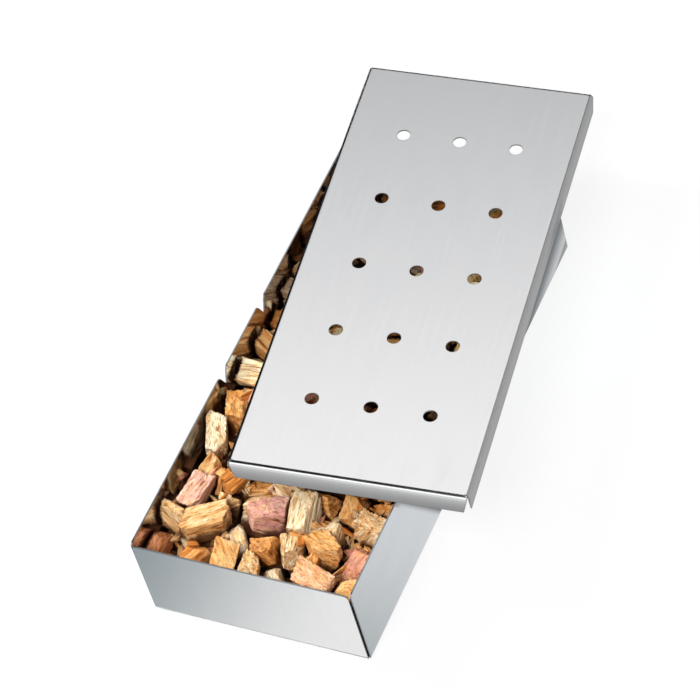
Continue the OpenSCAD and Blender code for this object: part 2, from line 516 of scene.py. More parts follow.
@dataclass(frozen=True)
class SplitWood(Finish):
    """Dry split wood: fibres along the grain, darker pores, a stain on some chips, torn ends and painted
    shade in the gaps.

    A veil is the share of a darker colour, and the noise values at which it starts and is full.
    """

    name: str = "split_wood"
    stops: Stops = (
        (0.0, tone(162, 92, 36)),
        (0.3, tone(203, 132, 62)),
        (0.55, tone(219, 165, 101)),
        (0.8, tone(227, 193, 142)),
        (1.0, tone(233, 220, 186)),
    )
    fibre_dark: Colour = tone(144, 80, 34)
    pore: Colour = tone(108, 54, 18)
    stain: Colour = tone(216, 150, 144)
    end_dark: Colour = tone(150, 100, 64)
    # Painted shade: the brown that points take where they lie deep among the chips.
    painted_gap_shade: Colour = tone(74, 30, 4)
    ring_cell: Triple = grain_cell(60, 3.0)
    ridge_cell: Triple = grain_cell(38, 1.5)
    fibre_cell: Triple = grain_cell(24, 0.6)
    pore_cell: Triple = grain_cell(12, 0.4)
    patch_cell: Triple = grain_cell(9, 2.6)
    grime_cell: Triple = grain_cell(5, 2.4)
    worn_cell: Triple = grain_cell(16, 7)
    ring_weight: float = 0.6
    ridge_weight: float = 0.95
    patch_weight: float = 0.3
    worn_span: Pair = (0.4, 0.6)
    stain_span: Pair = (0.32, 0.54)
    # Painted shade in the creases between ridges: where it starts and where it is full.
    painted_crease_shade_span: Pair = (0.53, 0.72)
    fibre_veil: Triple = (0.75, 0.49, 0.70)
    pore_veil: Triple = (0.2, 0.6, 0.8)
    grime_veil: Triple = (0.5, 0.58, 0.78)
    end_share: float = 0.35
    painted_gap_shade_share: float = 0.9
    fibre_depth: float = 1.6 * MM

    def paint(self, shader: Shader) -> Socket:
        """Paints by places along each chip's grain: a ramp by tint and growth, then darker colours in turn.

        Args:
            shader: The tree to paint in.

        Returns:
            The wood's shader.
        """
        place = shader.marked_place(Mark.GRAIN_PLACE)
        # gap is the painted shade where a point lies below the chips round it.
        tint, blush, end, gap = (shader.mark(m) for m in (Mark.TINT, Mark.BLUSH, Mark.CUT_END, Mark.PAINTED_SHADE))
        ring = shader.noise(place, self.ring_cell, detail=2, warp=0.3)
        ridge = shader.noise(place, self.ridge_cell, detail=3, warp=0.2)
        fibre = shader.noise(place, self.fibre_cell, detail=3)
        pore = shader.noise(place, self.pore_cell, detail=1)
        patch = shader.noise(place, self.patch_cell, detail=3)
        grime = shader.noise(place, self.grime_cell, detail=4, warp=0.6)
        worn = shader.noise(place, self.worn_cell, detail=2).eased(*self.worn_span)
        # Rings and patches are the wood's own tone; the ridges, which also raise the bump, make raised fibres
        # paler, partly the wood's own tone and partly a painted highlight.
        growth = (
            self.ring_weight * (ring - 0.5)
            + self.ridge_weight * (ridge - 0.5)
            + self.patch_weight * (patch - 0.5)
        )
        body = shader.ramp(tint + growth, self.stops)
        for share, colour in (
            (blush * (0.6 * patch + 0.4 * fibre).eased(*self.stain_span), self.stain),
            (fibre.veil(*self.fibre_veil), self.fibre_dark),
            (pore.veil(*self.pore_veil), self.pore),
            # Painted shade in the creases, where the ridges' bump is low.
            ((0.3 + 0.6 * worn) * (1 - ridge).eased(*self.painted_crease_shade_span), self.pore),
            (grime.veil(*self.grime_veil), self.fibre_dark),
            (self.end_share * end, self.end_dark),
            # Painted shade in the gaps between chips.
            (self.painted_gap_shade_share * gap, self.painted_gap_shade),
        ):
            body = shader.mix(share, body, colour)
        rough = 0.62 + 0.25 * fibre
        height = (0.6 + 0.5 * worn) * (0.65 * ridge + 0.25 * fibre + 0.1 * pore)
        normal = shader.bump(height, self.fibre_depth)
        return shader.principled(
            Base_Color=body, Metallic=0.0, Roughness=rough, Normal=normal, Specular_IOR_Level=0.25
        )


@dataclass(frozen=True)
class ShadedWood(Finish):
    """The wood of the layers that lie below: darker browns, by the place in the tray, as painted shade deep
    among the chips.
    """

    name: str = "shaded_wood"
    # Painted shade: browns darker than the loose chips', for the layers deep below them.
    stops: Stops = ((0.3, tone(52, 30, 16)), (0.5, tone(88, 54, 30)), (0.7, tone(120, 80, 48)))
    patch_cell: Triple = grain_cell(12, 12)
    fibre_cell: Triple = (0.7 * MM, 8 * MM, 0.7 * MM)
    fibre_depth: float = 0.3 * MM

    def paint(self, shader: Shader) -> Socket:
        """Paints by places in the model's frame.

        Args:
            shader: The tree to paint in.

        Returns:
            The wood's shader.
        """
        place = shader.object_place()
        patch = shader.noise(place, self.patch_cell, detail=2)
        fibre = shader.noise(place, self.fibre_cell, detail=3)
        colour = shader.ramp(0.7 * patch + 0.3 * fibre, self.stops)
        normal = shader.bump(fibre, self.fibre_depth)
        return shader.principled(Base_Color=colour, Roughness=0.6 + 0.3 * fibre, Normal=normal)


@dataclass(frozen=True)
class Sheet:
    """What tray and lid have in common: thin sheet, folded round, with its cut edges broken."""

    thick: float = 0.6 * MM
    slit: float = 0.5 * MM
    edge_break: float = 0.11 * MM
    edge_band: float = 0.5 * MM
    edge_segments: int = 2
    edge_angle: float = math.radians(50)
    fold_steps: int = 12

    @property
    def wall_end(self) -> float:
        """From a box's outside to the end of a wall."""
        return self.thick + self.slit / math.sqrt(2)

    def fold_grid(self, width: float, length: float, radius: float, along: Array) -> tuple[Array, Array]:
        """The outside of a fold on the +X side, from the flat at height 0 up to the wall.

        A quarter turn of a circle, x = radius sin a and z = radius (1 - cos a) past the fold's start, carried
        along Y. Its ends run from the flat's corner to the wall's ends by the square of x, which leaves the
        corner's slit.

        Args:
            width, length: Outside of the box, across and along.
            radius: Outside radius of the fold.
            along: Shares of the half length, from -1 to 1.

        Returns:
            The grid, and the same places on the sheet laid flat.
        """
        turn = np.linspace(0, math.pi / 2, self.fold_steps + 1)[:, None]
        out = radius * np.sin(turn)
        flat_end = length / 2 - radius
        far_end = length / 2 - self.wall_end
        reach = flat_end + (far_end - flat_end) * np.clip(out / (radius - self.thick), 0, 1) ** 2
        y = reach * along[None]
        x = np.broadcast_to(width / 2 - radius + out, y.shape)
        z = np.broadcast_to(radius * (1 - np.cos(turn)), y.shape)
        laid = np.broadcast_to(width / 2 - radius + radius * turn, y.shape)
        return np.stack([x, y, z], -1), np.stack([laid, y, 0 * y], -1)

    def piece(self, name: str, points: Array, marks: Array, quads: Array) -> Piece:
        """Makes a sheet from its outside: its thickness inwards, its broken edges and its finish's marks.

        Args:
            name: The piece's name.
            points: The outside's points.
            marks: Their places on the sheet laid flat.
            quads: Corner numbers, four a row.

        Returns:
            The piece.
        """
        piece = new_piece(name, points, quads)
        put_mark(piece, Mark.SHEET_PLACE, marks)
        put_mark(piece, Mark.CUT_EDGE, cut_edges(quads, len(points)))
        wall = piece.modifiers.new("thickness", "SOLIDIFY")
        wall.thickness = self.thick
        wall.offset = -1
        wall.use_quality_normals = True
        edge = piece.modifiers.new("broken_edge", "BEVEL")
        edge.width = self.edge_break
        edge.segments = self.edge_segments
        edge.limit_method = "ANGLE"
        edge.angle_limit = self.edge_angle
        edge.harden_normals = True
        return piece


def quarter_turns(grid: Array, turns: int) -> Array:
    """A grid turned about Z by whole quarter turns: (x, y) goes to (-y, x) each time.

    Args:
        grid: Points, rows by columns by 3.
        turns: How many quarter turns.

    Returns:
        The turned grid.
    """
    for _ in range(turns % 4):
        grid = np.stack([-grid[..., 1], grid[..., 0], grid[..., 2]], -1)
    return grid


@dataclass(frozen=True)
class Tray:
    """The open tray: base, four walls with rounded upper corners, two notches in each long wall."""

    width: float = 95 * MM
    length: float = 216 * MM
    height: float = 42 * MM
    fold_radius: float = 1.6 * MM
    corner_radius: float = 2 * MM
    corner_steps: int = 9
    notch_width: float = 6.5 * MM
    notch_depth: float = 7.5 * MM
    notch_radius: float = 2.5 * MM
    notch_pitch: float = 38 * MM
    notch_steps: int = 33
    even_step: float = 4 * MM
    rows: int = 10
    sheet: Sheet = Sheet()

    @property
    def notch_half_angle(self) -> float:
        """Half the angle of a notch's V."""
        return math.atan(self.notch_width / 2 / self.notch_depth)

    @property
    def notch_edge(self) -> float:
        """From a notch's middle to where its shoulder leaves the rim."""
        lean = math.tan(math.pi / 4 + self.notch_half_angle / 2)
        return self.notch_width / 2 + self.notch_radius / lean

    def rim(self, y: Array, length: float, notched: bool) -> Array:
        """Height of a wall's rim along it.

        The rim is level, with a quarter circle at both ends and a V with round shoulders at each notch.

        Args:
            y: Places along the wall.
            length: Length of the wall.
            notched: Whether it has notches.

        Returns:
            Heights above the base.
        """
        r = self.corner_radius
        past = np.clip(np.abs(y) - (length / 2 - r), 0, r)
        top = self.height - r + np.sqrt(r * r - past * past)
        if not notched:
            return top
        away = np.abs(np.abs(y) - self.notch_pitch / 2)
        flank = -self.notch_depth * (1 - away / (self.notch_width / 2))
        shoulder_in = np.clip(self.notch_edge - away, 0, self.notch_radius)
        shoulder = np.sqrt(self.notch_radius**2 - shoulder_in**2) - self.notch_radius
        on_flank = away < self.notch_edge - self.notch_radius * math.cos(self.notch_half_angle)
        return np.where(away < self.notch_edge, self.height + np.where(on_flank, flank, shoulder), top)

    def stations(self, length: float, notched: bool) -> Array:
        """Places along a wall, closer at its round corners and its notches.

        Args:
            length: Length of the wall.
            notched: Whether it has notches.

        Returns:
            Shares of the half length, from -1 to 1, in order.
        """
        half = length / 2
        even = np.linspace(-half, half, 2 * int(half / self.even_step) + 1)
        turn = np.linspace(0, math.pi / 2, self.corner_steps)
        corner = half - self.corner_radius * (1 - np.sin(turn))
        even = even[np.abs(even) < corner[0]]
        parts = [corner, -corner]
        if notched:
            offset = np.linspace(-self.notch_edge, self.notch_edge, self.notch_steps)
            middle = self.notch_pitch / 2
            even = even[np.abs(np.abs(even) - middle) > self.notch_edge]
            parts += [middle + offset, offset - middle]
        return np.unique(np.round(np.concatenate([even, *parts]), DECIMALS)) / half

    def wall(
        self, patches: Patches, width: float, length: float, along: Array, notched: bool, turns: int
    ) -> None:
        """Adds a wall and its fold, on the +X side and then turned into place.

        The wall is upright at x = width / 2, from the fold's top to the rim: z = fold + w (rim(y) - fold).

        Args:
            patches: Where the grids go.
            width, length: Outside of the box across and along this wall.
            along: Shares of the half length.
            notched: Whether the rim has notches.
            turns: Quarter turns about Z.
        """
        radius = self.fold_radius
        grid, laid = self.sheet.fold_grid(width, length, radius, along)
        patches.add(quarter_turns(grid, turns), quarter_turns(laid, turns), flip=True)
        flat_length = length - 2 * self.sheet.wall_end
        y = along * flat_length / 2
        near_rim = 1 - self.sheet.edge_band / (self.height - radius)
        share = np.append(np.linspace(0, 1, self.rows)[:-1], [near_rim, 1])[:, None]
        z = radius + share * (self.rim(y, flat_length, notched) - radius)[None]
        y = np.broadcast_to(y, z.shape)
        grid = np.stack([np.full_like(z, width / 2), y, z], -1)
        arc = radius * (math.pi / 2 - 1)
        laid = np.stack([width / 2 + arc + z - radius, y, 0 * z], -1)
        patches.add(quarter_turns(grid, turns), quarter_turns(laid, turns), flip=True)

    def build(self, finish: StainlessSheet) -> Piece:
        """Builds the tray's outside from its base, folds and walls, and dresses it.

        Args:
            finish: The stainless finish.

        Returns:
            The piece.
        """
        patches = Patches()
        end = 2 * self.sheet.wall_end
        long_way = self.stations(self.length - end, True)
        short_way = self.stations(self.width - end, False)
        half_x, half_y = self.width / 2 - self.fold_radius, self.length / 2 - self.fold_radius
        x, y = np.meshgrid(short_way * half_x, long_way * half_y)
        patches.add(np.stack([x, y, 0 * x], -1))
        for turns in (0, 2):
            self.wall(patches, self.width, self.length, long_way, True, turns)
        for turns in (1, 3):
            self.wall(patches, self.length, self.width, short_way, False, turns)
        piece = self.sheet.piece("sheet_tray", *patches.welded())
        return settle(piece, finish.material(), Body.TRAY, Slot.SHEET, "tray")


@dataclass(frozen=True)
class Lid:
    """The lid: a flat top with round vents, four flanges, lying turned on the tray's rim."""

    tray: Tray = Tray()
    play: float = 0.4 * MM
    flange_height: float = 9 * MM
    flange_cut: float = 1.6 * MM
    flange_rows: int = 4
    fold_radius: float = 1.8 * MM
    vent_radius: float = 2.8 * MM
    columns: int = 3
    rows: int = 5
    pitch_x: float = 24 * MM
    pitch_y: float = 36 * MM
    steps_x: int = 12
    steps_y: int = 18
    ring_steps: int = 7
    margin_steps: int = 6
    turn: float = math.radians(8.3)
    rest_back: float = 46.3 * MM
    rest_in: float = 2.4 * MM
    seat_gap: float = 0.3 * MM
    sheet: Sheet = Sheet()

    @property
    def width(self) -> float:
        """Outside width of the lid."""
        return self.tray.width + 2 * (self.play + self.sheet.thick)

    @property
    def length(self) -> float:
        """Outside length of the lid."""
        return self.tray.length + 2 * (self.play + self.sheet.thick)

    def pose(self) -> tuple[Array, Array]:
        """How the lid lies: on the right rim, the rear rim and the rear right corner, which sets its slope.

        Returns:
            The lid's axes as columns, and the middle of its top.
        """
        half_w, half_l = self.tray.width / 2, self.tray.length / 2
        rest_x, rest_y = self.rest_in - half_w, self.rest_back - half_l
        drop = self.flange_height - self.sheet.thick
        slope = np.array([drop / (half_w - rest_x), drop / (half_l - rest_y)])
        up = np.array([*slope, math.sqrt(1 - slope @ slope)])
        ahead = np.array([math.cos(self.turn), math.sin(self.turn), 0])
        across = ahead - (ahead @ up) * up
        across /= np.linalg.norm(across)
        along = np.cross(up, across)
        level = self.tray.height + self.seat_gap
        right, rear = np.array([half_w, rest_y, level]), np.array([rest_x, half_l, level])
        corner = right - ((right - rear) @ across) * across
        middle = corner + across * self.width / 2 + along * self.length / 2 + up * self.flange_height
        return np.stack([across, along, up], 1), middle

    def stations(self, half: float, pitch: float, count: int, steps: int) -> Array:
        """Places along the flat top: a margin, the vents' cells, a margin.

        Args:
            half: Half the flat's size.
            pitch, count: The vents' pitch and number along it.
            steps: Squares along a vent's cell.

        Returns:
            Shares of the half size, from -1 to 1, in order.
        """
        cells = pitch * count / 2
        near_fold = half - self.sheet.edge_band
        margin = np.append(np.linspace(cells, half, self.margin_steps)[:-1], [near_fold, half])
        inner = np.linspace(-cells, cells, count * steps + 1)
        return np.concatenate([-margin[:0:-1], inner, margin[1:]]) / half

    def vent_cell(self, patches: Patches, column: int, row: int) -> None:
        """Adds the flat round one vent.

        A cell's border and the vent's circle are blended: P(k, t) = (1 - t^2) circle(k) + t^2 border(k).

        Args:
            patches: Where the grid goes.
            column, row: Which vent.
        """
        side_x, side_y = (np.linspace(-1, 1, steps + 1)[:-1] for steps in (self.steps_x, self.steps_y))
        end_x, end_y = np.ones(self.steps_x), np.ones(self.steps_y)
        x = np.concatenate([side_x, end_y, -side_x, -end_y, side_x[:1]])
        y = np.concatenate([-end_x, side_y, end_x, -side_y, -end_x[:1]])
        angle = np.arctan2(y, x)
        border = np.stack([x * self.pitch_x / 2, y * self.pitch_y / 2], -1)
        circle = self.vent_radius * np.stack([np.cos(angle), np.sin(angle)], -1)
        share = (np.linspace(0, 1, self.ring_steps + 1) ** 2)[:, None, None]
        from_middle = np.array([column - (self.columns - 1) / 2, row - (self.rows - 1) / 2])
        middle = from_middle * np.array([self.pitch_x, self.pitch_y])
        flat = (1 - share) * circle[None] + share * border[None] + middle
        patches.add(np.concatenate([flat, 0 * flat[..., :1]], -1))

    def flange(self, patches: Patches, width: float, length: float, along: Array, turns: int) -> None:
        """Adds a flange and its fold, on the +X side and then turned into place.

        The flange is flat, from the fold's end down, and its ends are cut back on a slant.

        Args:
            patches: Where the grids go.
            width, length: Outside of the lid across and along this flange.
            along: Shares of the half length.
            turns: Quarter turns about Z.
        """
        radius = self.fold_radius
        down = np.array([1, 1, -1])
        grid, laid = self.sheet.fold_grid(width, length, radius, along)
        patches.add(quarter_turns(grid * down, turns), quarter_turns(laid, turns))
        near_edge = 1 - self.sheet.edge_band / (self.flange_height - radius)
        share = np.append(np.linspace(0, 1, self.flange_rows)[:-1], [near_edge, 1])[:, None]
        y = (length / 2 - self.sheet.wall_end - self.flange_cut * share) * along[None]
        z = np.broadcast_to(radius + (self.flange_height - radius) * share, y.shape)
        grid = np.stack([np.full_like(y, width / 2), y, -z], -1)
        laid = np.stack([width / 2 + radius * (math.pi / 2 - 2) + z, y, 0 * y], -1)
        patches.add(quarter_turns(grid, turns), quarter_turns(laid, turns))

    def build(self, finish: StainlessSheet) -> Piece:
        """Builds the lid's outside round its vents, lays it on the tray, and dresses it.

        Args:
            finish: The stainless finish.

        Returns:
            The piece.
        """
        patches = Patches()
        half_x, half_y = self.width / 2 - self.fold_radius, self.length / 2 - self.fold_radius
        across = self.stations(half_x, self.pitch_x, self.columns, self.steps_x)
        along = self.stations(half_y, self.pitch_y, self.rows, self.steps_y)
        m = self.margin_steps
        for xs, ys in (
            (across[: m + 1], along[m:-m]),
            (across[-m - 1 :], along[m:-m]),
            (across, along[: m + 1]),
            (across, along[-m - 1 :]),
        ):
            y, x = np.meshgrid(ys * half_y, xs * half_x)
            patches.add(np.stack([x, y, 0 * x], -1))
        for column in range(self.columns):
            for row in range(self.rows):
                self.vent_cell(patches, column, row)
        for turns in (0, 2):
            self.flange(patches, self.width, self.length, along, turns)
        for turns in (1, 3):
            self.flange(patches, self.length, self.width, across, turns)
        points, marks, quads = patches.welded()
        axes, middle = self.pose()
        piece = self.sheet.piece("sheet_lid", points @ axes.T + middle, marks, quads)
        return settle(piece, finish.material(), Body.LID, Slot.SHEET, "lid")


@dataclass(frozen=True)
class Solid:
    """One flat-faced CAD chip: its middle, its faces as directions and distances, its axes and half sizes."""

    middle: Array
    faces: Array
    reach: Array
    axes: Array
    half: Array

    @classmethod
    def of(cls, corners: Array) -> "Solid":
        """Reads a chip from its triangles.

        Args:
            corners: Triangles by three corners by three.

        Returns:
            The chip.
        """
        points = np.unique(np.round(corners.reshape(-1, 3), DECIMALS), axis=0)
        cross = np.cross(corners[:, 1] - corners[:, 0], corners[:, 2] - corners[:, 0])
        size = np.linalg.norm(cross, axis=1)
        share = size / size.sum()
        middle = (share[:, None] * corners.mean(1)).sum(0)
        keep = size > LEAST_AREA
        faces = cross[keep] / size[keep, None]
        reach = (faces * (corners[keep, 0] - middle)).sum(1)
        plane = np.unique(np.round(np.column_stack([faces, reach / MM]), FACE_DECIMALS), axis=0)
        spread = points - middle
        _, axes = np.linalg.eigh(spread.T @ spread)
        axes = axes[:, ::-1].T
        axes[2] = np.cross(axes[0], axes[1])
        half = np.abs(spread @ axes.T).max(0)
        return cls(middle, plane[:, :3], plane[:, 3] * MM, axes, half)


def node_triangles(name: str) -> Array:
    """Triangles of a CAD node's mesh, by three corners by three.

    Args:
        name: The node's name.

    Returns:
        The corners' places.
    """
    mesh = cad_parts[name].data
    mesh.calc_loop_triangles()
    points = np.empty(len(mesh.vertices) * 3, np.float32)
    mesh.vertices.foreach_get("co", points)
    corners = np.empty(len(mesh.loop_triangles) * 3, np.int32)
    mesh.loop_triangles.foreach_get("vertices", corners)
    return points.reshape(-1, 3).astype(float)[corners].reshape(-1, 3, 3)


def split_solids(corners: Array) -> list[Array]:
    """Parts a node's triangles into its separate solids.

    Each point takes the least number among the points that it shares a triangle with, until none changes.

    Args:
        corners: Triangles by three corners by three.

    Returns:
        The triangles of each solid.
    """
    key = np.round(corners.reshape(-1, 3) / (10 * WELD)).astype(np.int64)
    _, point = np.unique(key, axis=0, return_inverse=True)
    point = point.reshape(-1, 3)
    label = np.arange(point.max() + 1)
    while True:
        least = label[point].min(1)
        after = label.copy()
        np.minimum.at(after, point, np.repeat(least[:, None], 3, 1))
        if (after == label).all():
            break
        label = after
    owner = label[point[:, 0]]
    return [corners[owner == name] for name in np.unique(owner)]


def cube_grid(steps: int, gather: float = 0.8) -> tuple[Array, Array]:
    """The grid that a chip is shaped from: a cube from -1 to 1 with steps by steps squares on each side.

    The lines on a side lie at sin(gather a) / sin(gather pi / 2), for even steps of a from -pi / 2 to pi / 2.

    Args:
        steps: Squares along an edge.
        gather: How far the squares gather at the cube's edges, from 0 to 1.

    Returns:
        Points and squares, facing outwards.
    """
    patches = Patches()
    line = np.sin(np.linspace(-math.pi / 2, math.pi / 2, steps + 1) * gather) / math.sin(math.pi / 2 * gather)
    u, v = np.meshgrid(line, line, indexing="ij")
    one = np.ones_like(u)
    for side in ((one, u, v), (-one, v, u), (v, one, u), (u, -one, v), (u, v, one), (v, u, -one)):
        patches.add(np.stack(side, -1))
    points, _, quads = patches.welded()
    return points, quads


@dataclass(frozen=True)
class SplitSurface:
    """A chip's split surface: points, places along the grain, and how far each point lies on a torn end."""

    points: Array
    place: Array
    end: Array


@dataclass(frozen=True)
class ChipShape:
    """How a chip's faces are split: soft edges, steps and fibres along the grain, torn ends.

    Depths go inwards only.
    """

    steps: int
    first_seed: int
    seed_step: int = 11
    edge_power: float = 60
    fibre: float = 0.40 * MM
    split: float = 0.75 * MM
    torn: float = 1.2 * MM
    splinter: float = 0.7 * MM
    fibre_cell: Triple = grain_cell(8, 1.1)
    split_cell: Triple = grain_cell(15, 2.4)
    torn_cell: Triple = grain_cell(30, 1.7)
    splinter_cell: Triple = grain_cell(30, 0.8)
    split_levels: int = 4
    split_rise: Pair = (0.35, 0.65)
    end_span: Pair = (0.55, 0.9)
    seed_shift: Triple = (0.37, 0.73, 0.19)
    most: float = 0.30

    def surface(self, solid: Solid, seed: int) -> SplitSurface:
        """Works out a chip's split surface.

        A ray from the middle along w leaves the solid at w / g, where g is the power mean of w.n / d over the
        faces. Noise along the grain then draws each point in towards the middle: fibres and steps on the
        sides, torn fibres and splinters on the ends.

        Args:
            solid: The CAD chip.
            seed: Which of the many chips.

        Returns:
            The surface.
        """
        grid, _ = cube_grid(self.steps)
        way = (grid * solid.half) @ solid.axes
        ratio = np.maximum(way @ solid.faces.T / solid.reach, LEAST_RATIO)
        power = ratio**self.edge_power
        gauge = power.sum(1) ** (1 / self.edge_power)
        base = way / gauge[:, None]
        out = power @ solid.faces
        out /= np.linalg.norm(out, axis=1, keepdims=True)
        end = ease(np.abs(out @ solid.axes[0]), *self.end_span)
        place = base @ solid.axes.T + np.array(self.seed_shift) * seed % 1
        cells = np.array([self.fibre_cell, self.split_cell, self.torn_cell, self.splinter_cell])
        noises = [lattice_noise(place / cell, seed + i) for i, cell in enumerate(cells)]
        fibre, split, torn, splinter = noises
        level = np.floor(self.split_levels * split)
        split = (level + ease(self.split_levels * split - level, *self.split_rise)) / self.split_levels
        side_depth = self.fibre * fibre + self.split * split
        end_depth = self.torn * torn + self.splinter * splinter
        depth = (1 - end) * side_depth + end * end_depth
        inward = np.clip(depth / (base * out).sum(1), 0, self.most)
        return SplitSurface(solid.middle + base * (1 - inward[:, None]), place, end)

    def surfaces(self, solids: Sequence[Solid]) -> list[SplitSurface]:
        """The split surfaces of several chips, each with its own seed."""
        return [self.surface(solid, self.seed_step * i + self.first_seed) for i, solid in enumerate(solids)]


@dataclass(frozen=True)
class Relief:
    """The bed's tops: the highest point in each cell of a grid over the tray."""

    tops: Array
    half: Array
    cell: float
    ring_points: int = 8
    left_out: int = 2

    @classmethod
    def of(cls, points: Array, half: Array, cell: float = 0.8 * MM) -> "Relief":
        """Reads the tops.

        Args:
            points: Points of all chips, one a row.
            half: Half the grid's size across and along.
            cell: Size of a cell.

        Returns:
            The tops, at the lowest point's height where a cell holds none.
        """
        tops = np.full((2 * half / cell).astype(int) + 1, points[:, 2].min())
        index = ((points[:, :2] + half) / cell).astype(int)
        np.maximum.at(tops, (index[:, 0], index[:, 1]), points[:, 2])
        return cls(tops, half, cell)

    def walled(self, wall: float, rim: float) -> "Relief":
        """The tops with the left wall, for the painted shade on the chips along it.

        Args:
            wall: How far it stands from the middle.
            rim: How high it stands.

        Returns:
            The tops.
        """
        tops = self.tops.copy()
        tops[: int((self.half[0] - wall) / self.cell)] = rim
        return Relief(tops, self.half, self.cell)

    def top(self, places: Array) -> Array:
        """The tops at places on the bed."""
        at = ((places + self.half) / self.cell).astype(int)
        return self.tops[at[..., 0], at[..., 1]]

    def around(self, places: Array, ring: float) -> Array:
        """The mean of the tops on a ring round each place, with the lowest left out.

        Args:
            places: Places on the bed, one a row.
            ring: Radius of the ring.

        Returns:
            One height for each place.
        """
        turn = np.linspace(0, 2 * math.pi, self.ring_points, endpoint=False)
        near = places[:, None] + ring * np.stack([np.cos(turn), np.sin(turn)], -1)
        return np.sort(self.top(near), axis=1)[:, self.left_out :].mean(1)


@dataclass(frozen=True)
class Crumbs:
    """Crumbs and splinters of wood, caught in the gaps between the chips."""

    shape: ChipShape = ChipShape(
        steps=3,
        first_seed=4001,
        seed_step=7,
        fibre=0.1 * MM,
        split=0.2 * MM,
        torn=0.3 * MM,
        splinter=0.2 * MM,
    )
    count: int = 320
    tries: int = 9000
    ring: float = 4.5 * MM
    gap: float = 2.0 * MM
    rise: float = 0.35
    half_bed: Pair = (44.5 * MM, 105 * MM)
    margin_rings: int = 4
    highest: float = 37 * MM
    half_sizes: tuple[Pair, ...] = ((1.6, 4.2), (0.6, 1.9), (0.5, 1.3))
    tilt: float = 0.35
    roll: float = 0.4
    skew: float = 0.22

    def places(self, relief: Relief, draw: np.random.Generator) -> Array:
        """Finds the gaps: where the chips' tops lie lower than on a ring around.

        Args:
            relief: The chips' tops.
            draw: The source of chance.

        Returns:
            Middles for the crumbs, one a row.
        """
        xy = draw.uniform(-1, 1, (self.tries, 2)) * np.array(self.half_bed)
        low = relief.top(xy)
        drop = relief.around(xy, self.ring) - low
        height = np.minimum(low + self.rise * drop, self.highest)
        return np.column_stack([xy, height])[drop > self.gap][: self.count]

    def solid(self, middle: Array, draw: np.random.Generator) -> Solid:
        """A crumb before it is split: a block with skewed faces, lying at a chance angle.

        Args:
            middle: Where it lies.
            draw: The source of chance.

        Returns:
            The block.
        """
        half = np.array([draw.uniform(*span) for span in self.half_sizes]) * MM
        spun = Matrix.Rotation(draw.uniform(-math.pi, math.pi), 3, "Z")
        tipped = Matrix.Rotation(draw.normal(0, self.tilt), 3, "Y")
        rolled = Matrix.Rotation(draw.normal(0, self.roll), 3, "X")
        axes = np.array(spun @ tipped @ rolled).T
        faces = np.concatenate([axes, -axes]) + draw.normal(0, self.skew, (6, 3))
        faces /= np.linalg.norm(faces, axis=1, keepdims=True)
        return Solid(middle, faces, np.tile(half, 2), axes, half)


@dataclass(frozen=True)
class Look:
    """The look of a chip: how pale it is from 0 to 1, and how stained."""

    tint: float
    blush: float = 0.0


@dataclass(frozen=True)
class Shade:
    """The look of the chip that lies nearest to a place."""

    x: float
    y: float
    look: Look


def shade_at(x: float, y: float, tint: float, blush: float = 0.0) -> Shade:
    """A look at a place given in millimetres."""
    return Shade(x * MM, y * MM, Look(tint, blush))


